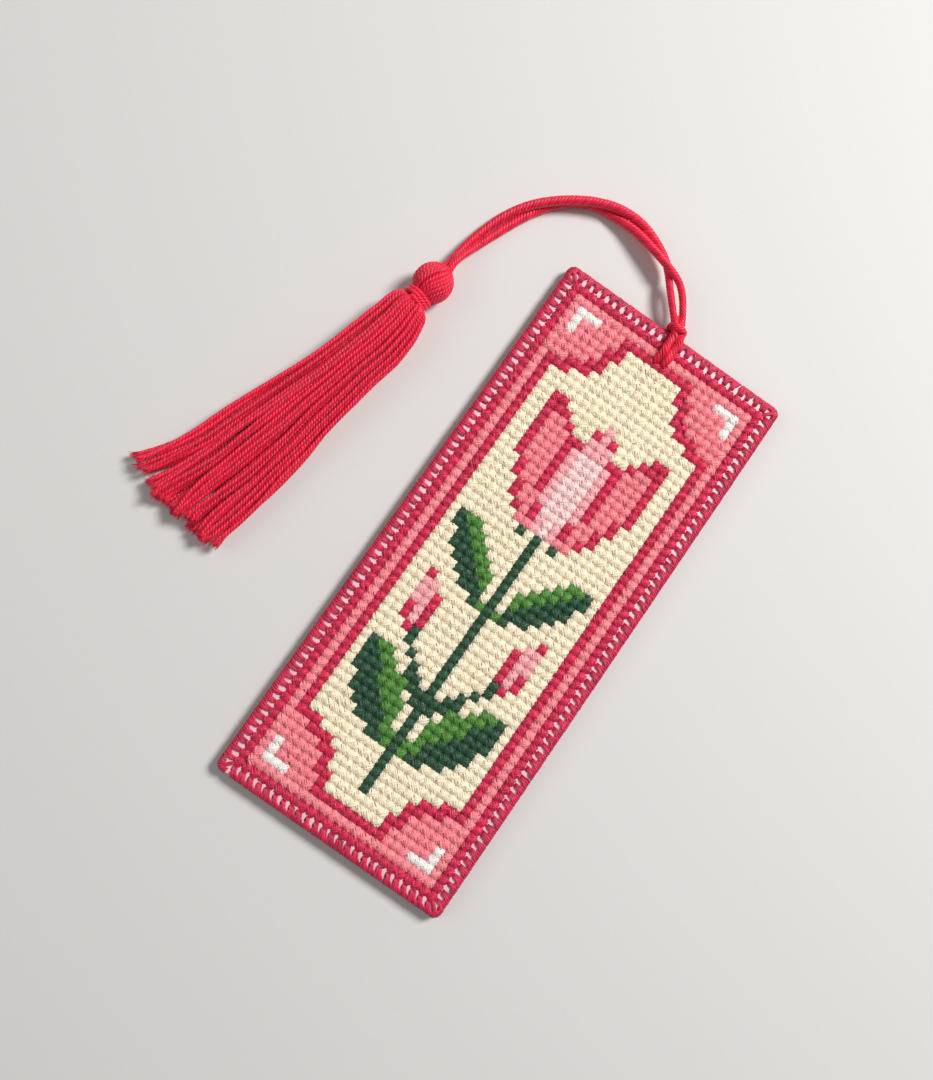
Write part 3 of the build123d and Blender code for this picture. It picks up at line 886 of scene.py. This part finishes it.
def makeFelt(s):
    # Top and bottom skins over one grid: full inside, pressed thin under the edge, open at the hitch
    halfX, halfY, top = boxOf("felt_backing")[1]
    xs = np.linspace(-halfX, halfX, int(2 * halfX / s["step"]) + 1)
    ys = np.linspace(-halfY, halfY, int(2 * halfY / s["step"]) + 1)
    x, y = np.meshgrid(xs, ys, indexing="ij")
    draw = np.random.default_rng(s["seed"])
    edge = np.minimum(halfX - abs(x), halfY - abs(y))
    filled = np.interp(edge, s["seam"], (0, 1))
    aside = abs(abs(x) - np.interp(y, *s["grooveOut"]))
    groove = np.interp(aside, s["grooveHalf"], (1, 0)) * np.interp(y, s["grooveStart"], (0, 1))
    nap = abs(draw.normal(0, s["nap"], x.shape))
    floor = s["seamLift"] * (1 - filled * filled * (3 - 2 * filled)) + s["rest"] + nap
    floor = np.maximum(floor, s["grooveDepth"] * groove)
    ceiling = top - s["faceGap"] - np.where(edge > 0, 0, s["edgeDrop"])
    count = x.size
    grid = np.arange(count).reshape(x.shape)
    a, b, c, d = grid[:-1, :-1], grid[1:, :-1], grid[1:, 1:], grid[:-1, 1:]
    upper = np.stack([a, b, c, d], axis=-1).reshape(-1, 4)
    lower = np.stack([d, c, b, a], axis=-1).reshape(-1, 4) + count
    rim = np.concatenate([grid[:, 0], grid[-1, 1:], grid[-2::-1, -1], grid[0, -2:0:-1]])
    ahead = np.roll(rim, -1)
    wall = np.stack([rim, rim + count, ahead + count, ahead], axis=-1)
    spots = np.concatenate([
        np.stack([x, y, ceiling], axis=-1).reshape(-1, 3),
        np.stack([x, y, floor], axis=-1).reshape(-1, 3),
    ]) * mm
    mesh = bpy.data.meshes.new("feltBack")
    mesh.from_pydata(spots.tolist(), [], upper.tolist() + lower.tolist() + wall.tolist())
    mesh.polygons.foreach_set("use_smooth", np.ones(len(mesh.polygons), bool))
    felt = addPiece("feltBack", mesh, feltMaterial(s), ("felt_backing",), "panel")
    print("felt laid")


makeFelt(feltSettings)


# Tassel: drawn along -Y from the middle of its head, then turned to its place

tasselSettings = {
    "turn": -13.4,
    "place": (-44.2, 39.0, 3.75),
    "tableGap": 0.02,
    # the lay of every strand: the plies' way out and radius are shares of the strand's radius
    "plies": 3,
    "plyPitch": 2.05,
    "plyOffset": 0.5,
    "plyRadius": 0.55,
    "twist": 1.5,
}


def toTassel(paths):
    turn = radians(tasselSettings["turn"])
    placeX, placeY, placeZ = tasselSettings["place"]
    x = paths[..., 0] * cos(turn) - paths[..., 1] * sin(turn) + placeX
    y = paths[..., 0] * sin(turn) + paths[..., 1] * cos(turn) + placeY
    return np.stack([x, y, paths[..., 2] + placeZ], axis=-1)


def onTable(paths, radius):
    # What would reach through the table lies on it
    lowest = radius + tasselSettings["tableGap"] - tasselSettings["place"][2]
    height = np.maximum(paths[..., 2], lowest)
    return np.stack([paths[..., 0], paths[..., 1], height], axis=-1)


def tasselPiece(name, node, paths, radius, sides, up, draw):
    mesh = tubeMesh(name, toTassel(paths), radius, radius, sides, up, tasselSettings["twist"], draw)
    addPiece(name, mesh, threads["cordRed"], (node,), "tassel")
    print(name, len(mesh.polygons), "faces")


headSettings = {
    "strands": 25,
    "points": 26,
    "steps": 44,
    "sides": 7,
    "up": (0.1, 0.2, 1),
    "radius": 3.95,
    "shift": -0.3,
    "shiftOver": 2.0,        # the way from the neck in which the head shifts
    "above": 3.85,
    "below": 3.6,
    "crownRadius": 1.3,
    "neckRadius": 2.35,
    "strandRadius": 0.55,
    "thinnest": 0.45,        # a strand's least radius, as a share
    "core": 0.86,            # the folded strands inside, as a share of the outer ones' radius
    "coreSides": 24,
    "lean": 0.55,            # how far a strand drifts round the head, in radians
    "uneven": 0.03,
    "seed": 51,
}


def makeHead(s):
    draw = np.random.default_rng(s["seed"])
    lay = tasselSettings
    t = np.linspace(0, 1, s["points"])
    y = s["above"] - (s["above"] + s["below"]) * t
    end = np.where(y > 0, s["crownRadius"] / s["radius"], s["neckRadius"] / s["radius"])
    reach = np.where(y > 0, s["above"], s["below"])
    radius = s["radius"] * np.sqrt(1 - (y / reach) ** 2 * (1 - end**2)) - s["strandRadius"]
    start = np.arange(s["strands"]) * 2 * pi / s["strands"] + draw.normal(0, s["uneven"], s["strands"])
    around = start[:, None] + s["lean"] * (t - 0.5) + draw.normal(0, s["uneven"], (s["strands"], 1)) * t
    x, z = radius * np.cos(around), radius * np.sin(around)
    paths = np.stack([x, np.broadcast_to(y, around.shape), z], axis=-1)
    paths = np.stack([evenly(path, s["steps"]) for path in paths])
    girth = np.hypot(paths[..., 0], paths[..., 2]) / (s["radius"] - s["strandRadius"])
    size = s["strandRadius"] * np.clip(girth, s["thinnest"], 1)
    paths[..., 0] += s["shift"] * np.clip((paths[..., 1] + s["below"]) / s["shiftOver"], 0, 1)
    phase = draw.random(s["strands"]) * 2 * pi
    plies = plyPaths(paths, s["up"], lay["plies"], size * lay["plyOffset"], lay["plyPitch"], phase)
    size = np.concatenate([size] * lay["plies"]) * lay["plyRadius"]
    tasselPiece("tasselHead", "tassel_head", onTable(plies, size), size, s["sides"], s["up"], draw)
    inside = np.stack([0 * y + s["shift"], y, 0 * y], axis=-1)[None]
    core = radius * s["core"]
    mesh = tubeMesh("headFold", toTassel(inside), core, core, s["coreSides"], upward, 0.0, draw)
    addPiece("headFold", mesh, threads["cordRed"], ("tassel_head",), "tassel")
    print("head folded")


makeHead(headSettings)


bindingSettings = {
    "top": -3.55,
    "pitch": 0.74,
    "turns": 2.3,
    "radius": 2.4,
    "threadRadius": 0.46,
    "points": 260,
    "sides": 7,
    "plyUp": (0, 1, 0),
    "up": (0, 1, 0.1),
    "seed": 61,
}


def makeBinding(s):
    draw = np.random.default_rng(s["seed"])
    lay = tasselSettings
    t = np.linspace(0, 1, s["points"])
    angle = 2 * pi * s["turns"] * t
    rise = s["top"] - s["pitch"] * s["turns"] * t
    paths = np.stack([s["radius"] * np.cos(angle), rise, s["radius"] * np.sin(angle)], axis=-1)[None]
    offset = s["threadRadius"] * lay["plyOffset"]
    plies = plyPaths(paths, s["plyUp"], lay["plies"], offset, lay["plyPitch"])
    size = s["threadRadius"] * lay["plyRadius"]
    tasselPiece("neckBinding", "neck_binding", plies, size, s["sides"], s["up"], draw)


makeBinding(bindingSettings)


skirtSettings = {
    "strands": 66,
    "pieces": 4,
    "points": 120,
    "spacing": 0.24,
    "strandRadius": 0.52,
    "squeeze": ((1.2, 4.2), (0.5, 1.0)),     # way from the neck, and a strand's radius there as a share
    "sides": 6,
    # y, half width, half height, sway and middle height over the table, down the skirt
    "stations": (
        (-3.4, 1.9, 1.9, 0.0, 3.75), (-4.6, 2.05, 2.05, 0.05, 3.75), (-5.4, 2.9, 2.7, 0.2, 3.75),
        (-6.2, 4.2, 3.4, 0.45, 3.74), (-8.0, 5.0, 3.65, 0.65, 3.72), (-11.0, 5.6, 3.7, 1.25, 3.7),
        (-16.0, 6.2, 3.6, 1.6, 3.62), (-22.0, 6.4, 3.45, 1.5, 3.46), (-27.0, 6.9, 3.3, 1.5, 3.3),
        (-34.0, 7.8, 3.05, 1.25, 3.05), (-40.0, 8.8, 2.85, 1.3, 2.85), (-46.0, 9.5, 2.65, 1.15, 2.65),
        (-52.0, 10.1, 2.45, 1.15, 2.45), (-58.0, 10.8, 2.3, 0.7, 2.3), (-64.4, 11.8, 2.1, 0.1, 2.1),
    ),
    "flattest": 0.4,         # least half height that the strands are piled in
    "lowest": 0.55,          # least height of a strand's middle over the table
    "tailBow": 1.6,          # the longest strands lie left of the middle
    "tailMiddle": -0.15,
    "tailHalf": 0.5,
    "tailLift": 0.6,
    "tailRagged": 0.6,
    "meander": 0.4,
    "meanderPower": 1.5,     # this power and those below: the higher, the nearer to the tips
    "waves": (1.2, 2.6),
    "wander": 0.35,
    "wanderPower": 2,
    "ripple": 0.2,
    "ripples": 1.7,
    "leftGap": 0.9,
    "leftPast": -0.72,       # the strands past this place stand off to the left
    "gapPower": 10,
    "clumps": 3.4,           # clumps to each side of the middle
    "clumpShare": 0.3,       # how far the ends are drawn to their clump
    "clumpPower": 4,
    "curl": 1.0,
    "curlPower": 12,
    "crossing": ((-0.05, 0.75), 2.6),     # the strand nearest this place bends over its neighbours
    "fray": 1.4,
    "frayWidth": 0.12,
    "frayThin": 0.15,
    "hairs": 14,
    "hairPoints": 7,
    "hairSides": 4,
    "hairRadius": 0.08,
    "hairTaper": 0.4,
    "hairLength": 2.0,
    "hairReach": (0.8, 1.1),
    "hairRoot": 0.7,         # how far back in the strand a hair starts, as a share of its length
    "hairStart": 0.2,
    "hairFan": 0.24,
    "tipPoints": 11,         # steps of a strand that give its tip's heading
    "seed": 71,
}


def makeSkirt(s):
    draw = np.random.default_rng(s["seed"])
    lay = tasselSettings
    stations = np.array(s["stations"])
    top, tail = stations[0, 0], stations[-1, 0]
    order = np.arange(s["strands"])
    reach = np.sqrt((order + 0.5) / s["strands"])
    golden = order * pi * (3 - sqrt(5))     # the golden angle fills the section evenly
    across = reach * np.cos(golden)
    lift = reach * np.sin(golden)
    curls = draw.normal(0, s["curl"], s["strands"])
    (crossAcross, crossLift), crossReach = s["crossing"]
    curls[np.argmin(np.hypot(across - crossAcross, lift - crossLift))] = crossReach
    clumped = (np.round(across * s["clumps"]) / s["clumps"] - across) * s["clumpShare"]
    line = smoothPath(stations[:, :3], s["points"])
    sway = np.interp(line[:, 0], stations[::-1, 0], stations[::-1, 3])
    middle = np.interp(line[:, 0], stations[::-1, 0], stations[::-1, 4])
    down = (top - line[:, 0]) / (top - tail)
    half = line[:, 1] - s["strandRadius"]
    pile = np.maximum(line[:, 2] - s["strandRadius"], s["flattest"])
    steps = int((top - tail) / s["spacing"])
    paths = []
    for strand in range(s["strands"]):
        bow = np.clip(abs(across[strand] - s["tailMiddle"]) / s["tailHalf"], 0, 1) ** 2 - s["tailLift"]
        end = tail + s["tailBow"] * bow + draw.normal(0, s["tailRagged"])
        phase = draw.random(2) * 2 * pi
        waves = draw.uniform(*s["waves"])
        wander = draw.normal(0, s["wander"]) * (1 - abs(across[strand]))
        gap = s["leftGap"] if across[strand] < s["leftPast"] else 0
        x = sway + (across[strand] + clumped[strand] * down ** s["clumpPower"]) * half
        x = x + s["meander"] * down ** s["meanderPower"] * np.sin(2 * pi * waves * down + phase[0])
        x = x + wander * down ** s["wanderPower"] - gap * down ** s["gapPower"]
        x = x + curls[strand] * down ** s["curlPower"]
        y = top + (line[:, 0] - top) * (top - end) / (top - tail)
        ripple = s["ripple"] * down * np.sin(2 * pi * s["ripples"] * down + phase[1])
        z = np.maximum(middle + lift[strand] * pile + ripple, s["lowest"]) - lay["place"][2]
        paths.append(evenly(np.stack([x, y, z], axis=1), steps))
    paths = np.array(paths)
    along = lengthAlong(paths)
    left = along[:, -1:] - along
    size = s["strandRadius"] * np.interp(along, *s["squeeze"])
    frayed = np.clip(1 - left / s["fray"], 0, 1)
    offset = size * lay["plyOffset"] + s["frayWidth"] * frayed**2
    phase = draw.random(s["strands"]) * 2 * pi
    plies = plyPaths(paths, upward, lay["plies"], offset, lay["plyPitch"], phase, s["fray"] / 2)
    size = np.concatenate([size * (1 - s["frayThin"] * frayed)] * lay["plies"]) * lay["plyRadius"]
    plies = onTable(plies, size)
    share = ceil(s["strands"] / s["pieces"])
    for part in range(s["pieces"]):
        chosen = np.arange(part * share, min((part + 1) * share, s["strands"]))
        chosen = np.concatenate([chosen + ply * s["strands"] for ply in range(lay["plies"])])
        name = "skirtStrands" + str(part + 1)
        tasselPiece(name, "skirt_strands", plies[chosen], size[chosen], s["sides"], upward, draw)
    makeHairs(paths, s, draw)


def makeHairs(paths, s, draw):
    # Loose fibres at each cut end, fanned out of the strand
    tips = np.repeat(paths[:, -1], s["hairs"], axis=0)
    heading = paths[:, -1] - paths[:, -1 - s["tipPoints"]]
    heading = np.repeat(heading / np.linalg.norm(heading, axis=1, keepdims=True), s["hairs"], axis=0)
    aside = draw.normal(0, 1, tips.shape)
    aside -= np.sum(aside * heading, axis=1, keepdims=True) * heading
    t = np.linspace(0, 1, s["hairPoints"])[None, :, None]
    start = tips - heading * s["hairLength"] * s["hairRoot"] + aside * s["hairStart"]
    reach = s["hairLength"] * draw.uniform(*s["hairReach"], (len(tips), 1, 1))
    hairs = start[:, None] + heading[:, None] * t * reach + aside[:, None] * s["hairFan"] * t**2
    hairs = onTable(hairs, s["hairRadius"])
    taper = s["hairRadius"] * (1 - s["hairTaper"] * t[..., 0])
    tasselPiece("skirtEnds", "skirt_strands", hairs, taper, s["hairSides"], upward, draw)


makeSkirt(skirtSettings)
